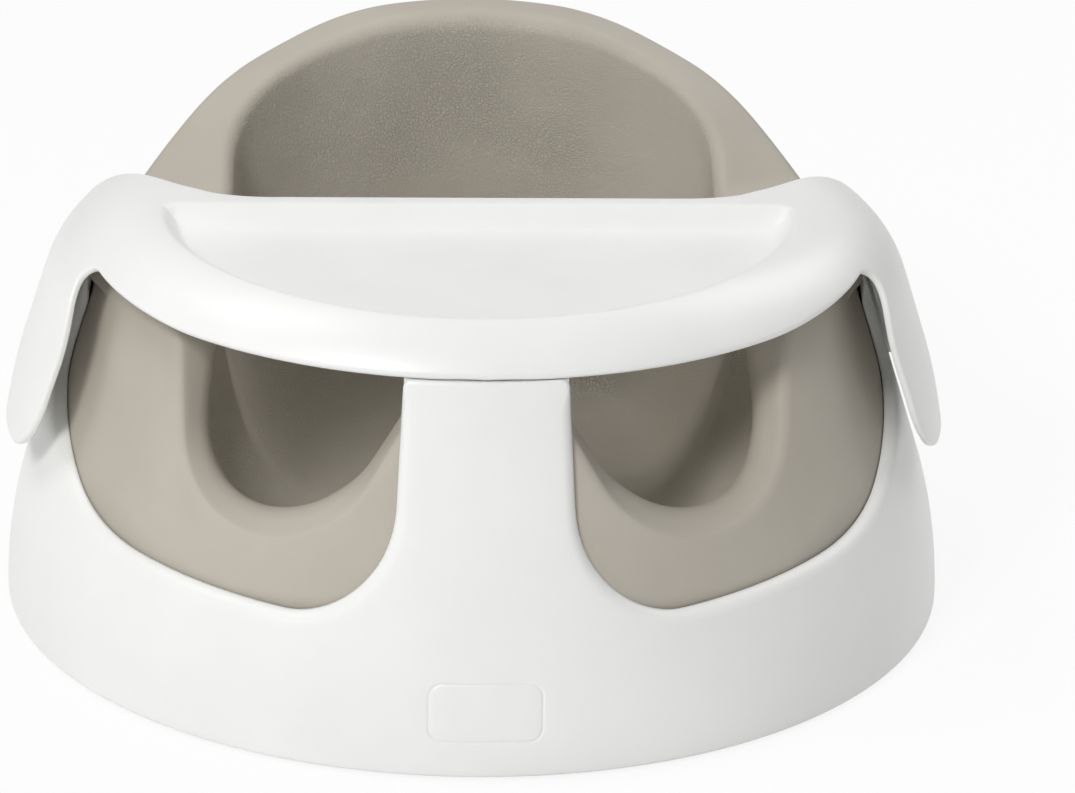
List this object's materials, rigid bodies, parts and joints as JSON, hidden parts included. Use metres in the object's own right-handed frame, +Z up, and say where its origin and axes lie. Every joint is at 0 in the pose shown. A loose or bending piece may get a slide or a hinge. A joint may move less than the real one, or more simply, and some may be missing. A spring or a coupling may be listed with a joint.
{
  "type": "baby floor seat",
  "caption": "Low round floor seat for a baby: white shell with leg windows either side of a front column, soft moulded bucket seat and a half-moon play tray that lifts off.",
  "frame": {"origin": "middle of the base at the floor, under the feet", "axes": "+Z up, -Y the front with the column and the leg windows, +X the sitting baby's left-hand side seen from the back, the seat symmetric across X"},
  "size_m": [0.4, 0.3998, 0.2182],
  "materials": {
    "white_plastic": "satin injection-moulded polypropylene",
    "foam": "matt self-skinned polyurethane foam",
    "pan_plastic": "plain moulded polypropylene",
    "screw_steel": "zinc-plated",
    "peg_plastic": "plain moulded nylon",
    "foot_rubber": "matt"
  },
  "bodies": {
    "seat": {"base_shell": "white_plastic", "seat_foam": "foam", "base_pan": "pan_plastic", "pan_screws": "screw_steel", "foam_pegs": "peg_plastic", "foot_front_left": "foot_rubber", "foot_front_right": "foot_rubber", "foot_mid_left": "foot_rubber", "foot_mid_right": "foot_rubber", "foot_rear_left": "foot_rubber", "foot_rear_right": "foot_rubber"},
    "tray": {"tray": "white_plastic"}
  },
  "joints": [
    {"name": "tray_lift", "type": "slide", "parent": "seat", "child": "tray", "axis": [0, 0, 1], "range_m": [0, 0.15]}
  ]
}
